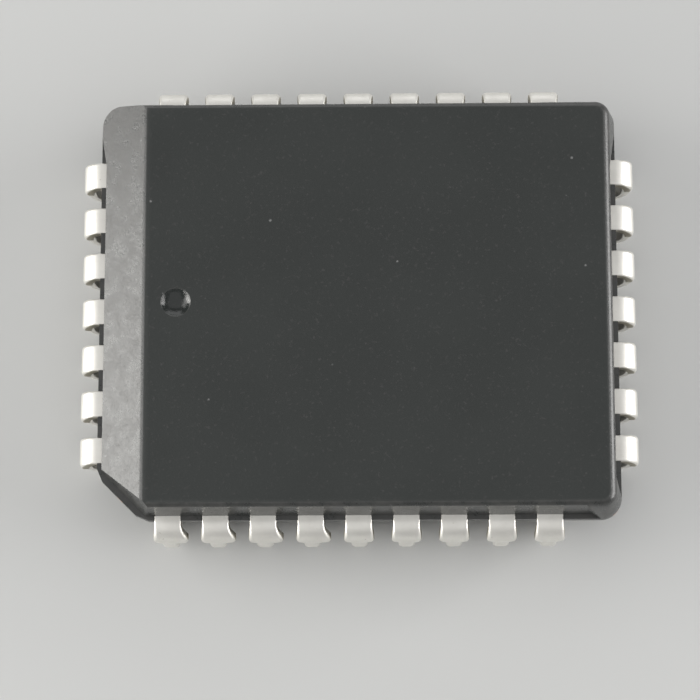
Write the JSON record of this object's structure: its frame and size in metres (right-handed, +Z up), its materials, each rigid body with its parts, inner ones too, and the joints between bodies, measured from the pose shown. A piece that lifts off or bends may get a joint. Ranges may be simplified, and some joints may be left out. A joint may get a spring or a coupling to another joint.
{
  "type": "plcc chip",
  "caption": "Rectangular chip carrier: a dark moulded epoxy body with a bevelled end, one cut corner and J-shaped tin-plated leads on all four sides, for soldering or a socket.",
  "frame": {"origin": "middle of the lead pattern, on the plane that the feet of the leads stand on", "axes": "+X along the long side, away from the bevelled end of lead 1; +Y along the short side, away from the cut corner; +Z up, out of the top face"},
  "size_m": [0.015, 0.0124, 0.0034],
  "materials": {
    "epoxy": "matte, fine-grained",
    "tin_plate": "satin tin plating",
    "copper": "stamped copper alloy",
    "silver_paste": "cured paste",
    "silicon": "polished",
    "gold": "bright wire"
  },
  "bodies": {
    "root": {"body": "epoxy", "die_paddle": "copper", "die_attach": "silver_paste", "die": "silicon", "bond_wires": "gold", "lead_01": "tin_plate", "lead_02": "tin_plate", "lead_03": "tin_plate", "lead_04": "tin_plate", "lead_05": "tin_plate", "lead_06": "tin_plate", "lead_07": "tin_plate", "lead_08": "tin_plate", "lead_09": "tin_plate", "lead_10": "tin_plate", "lead_11": "tin_plate", "lead_12": "tin_plate", "lead_13": "tin_plate", "lead_14": "tin_plate", "lead_15": "tin_plate", "lead_16": "tin_plate", "lead_17": "tin_plate", "lead_18": "tin_plate", "lead_19": "tin_plate", "lead_20": "tin_plate", "lead_21": "tin_plate", "lead_22": "tin_plate", "lead_23": "tin_plate", "lead_24": "tin_plate", "lead_25": "tin_plate", "lead_26": "tin_plate", "lead_27": "tin_plate", "lead_28": "tin_plate", "lead_29": "tin_plate", "lead_30": "tin_plate", "lead_31": "tin_plate", "lead_32": "tin_plate"}
  },
  "joints": []
}
